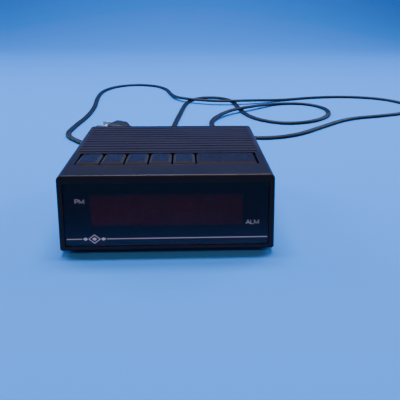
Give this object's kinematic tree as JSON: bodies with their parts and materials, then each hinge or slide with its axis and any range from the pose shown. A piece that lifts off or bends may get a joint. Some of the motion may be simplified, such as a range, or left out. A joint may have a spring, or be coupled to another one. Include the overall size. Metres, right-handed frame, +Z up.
{
  "type": "digital alarm clock",
  "caption": "Small black mains digital alarm clock with a leaning gloss front, dark red LED window, ribbed top and a row of push keys, with its flat two-blade cord lying behind it.",
  "frame": {"origin": "middle of the clock case, on the surface it stands on, without the cord", "axes": "+X to the right seen from the front, front face towards -Y, +Z up"},
  "size_m": [0.4556, 0.5078, 0.0482],
  "materials": {
    "case_plastic": "fine satin moulded",
    "base_plastic": "satin moulded",
    "key_plastic": "satin moulded, worn smooth",
    "window_lens": "clear dark red acrylic, polished",
    "panel_mask": "printed film",
    "display_plastic": "satin",
    "segment_plastic": "translucent diffuser",
    "circuit_board": "phenolic board",
    "chip_plastic": "moulded epoxy",
    "capacitor_sleeve": "shrink sleeve",
    "core_steel": "varnished laminations",
    "bobbin_plastic": "nylon",
    "winding_tape": "polyester tape",
    "bracket_steel": "zinc plated",
    "buzzer_brass": "rolled",
    "label_paper": "blank foil paper",
    "lead_jacket": "soft",
    "ribbon_jacket": "soft",
    "cord_jacket": "satin vinyl",
    "plug_plastic": "satin vinyl",
    "blade_brass": "polished",
    "screw_steel": "zinc plated",
    "foot_rubber": "matte",
    "switch_plastic": "moulded",
    "plunger_plastic": "moulded",
    "diode_body": "moulded",
    "resistor_body": "lacquered"
  },
  "bodies": {
    "root": {"top_housing": "case_plastic", "bottom_housing": "base_plastic", "front_lens": "window_lens", "lens_mask": "panel_mask", "display_reflector": "display_plastic", "display_segments": "segment_plastic", "display_board": "circuit_board", "key_board": "circuit_board", "main_board": "circuit_board", "clock_chip": "chip_plastic", "filter_capacitor": "capacitor_sleeve", "regulator": "chip_plastic", "transformer_core": "core_steel", "transformer_bobbin": "bobbin_plastic", "transformer_primary": "winding_tape", "transformer_secondary": "winding_tape", "transformer_bracket": "bracket_steel", "buzzer_housing": "display_plastic", "buzzer_disc": "buzzer_brass", "rating_label": "label_paper", "primary_lead": "lead_jacket", "secondary_lead": "lead_jacket", "display_ribbon": "ribbon_jacket", "strain_relief": "cord_jacket", "power_cord": "cord_jacket", "plug_body": "plug_plastic", "plug_blade_wide": "blade_brass", "plug_blade_narrow": "blade_brass", "switch_1": "switch_plastic", "switch_2": "switch_plastic", "switch_3": "switch_plastic", "switch_4": "switch_plastic", "switch_5": "switch_plastic", "switch_6": "switch_plastic", "case_screw_1": "screw_steel", "foot_1": "foot_rubber", "case_screw_2": "screw_steel", "foot_2": "foot_rubber", "case_screw_3": "screw_steel", "foot_3": "foot_rubber", "case_screw_4": "screw_steel", "foot_4": "foot_rubber", "diode_1": "diode_body", "resistor_1": "resistor_body", "diode_2": "diode_body", "resistor_2": "resistor_body"},
    "key_1_body": {"key_1": "key_plastic", "plunger_1": "plunger_plastic"},
    "key_2_body": {"key_2": "key_plastic", "plunger_2": "plunger_plastic"},
    "key_3_body": {"key_3": "key_plastic", "plunger_3": "plunger_plastic"},
    "key_4_body": {"key_4": "key_plastic", "plunger_4": "plunger_plastic"},
    "key_5_body": {"key_5": "key_plastic", "plunger_5": "plunger_plastic"},
    "snooze_body": {"snooze_key": "key_plastic", "plunger_6": "plunger_plastic"}
  },
  "joints": [
    {"name": "key_1_press", "type": "slide", "parent": "root", "child": "key_1_body", "axis": [0, 0, -1], "range_m": [0, 0.001], "stiffness_N_per_m": 400, "springref_m": -0.001},
    {"name": "key_2_press", "type": "slide", "parent": "root", "child": "key_2_body", "axis": [0, 0, -1], "range_m": [0, 0.001], "stiffness_N_per_m": 400, "springref_m": -0.001},
    {"name": "key_3_press", "type": "slide", "parent": "root", "child": "key_3_body", "axis": [0, 0, -1], "range_m": [0, 0.001], "stiffness_N_per_m": 400, "springref_m": -0.001},
    {"name": "key_4_press", "type": "slide", "parent": "root", "child": "key_4_body", "axis": [0, 0, -1], "range_m": [0, 0.001], "stiffness_N_per_m": 400, "springref_m": -0.001},
    {"name": "key_5_press", "type": "slide", "parent": "root", "child": "key_5_body", "axis": [0, 0, -1], "range_m": [0, 0.001], "stiffness_N_per_m": 400, "springref_m": -0.001},
    {"name": "snooze_press", "type": "slide", "parent": "root", "child": "snooze_body", "axis": [0, 0, -1], "range_m": [0, 0.001], "stiffness_N_per_m": 400, "springref_m": -0.001}
  ]
}
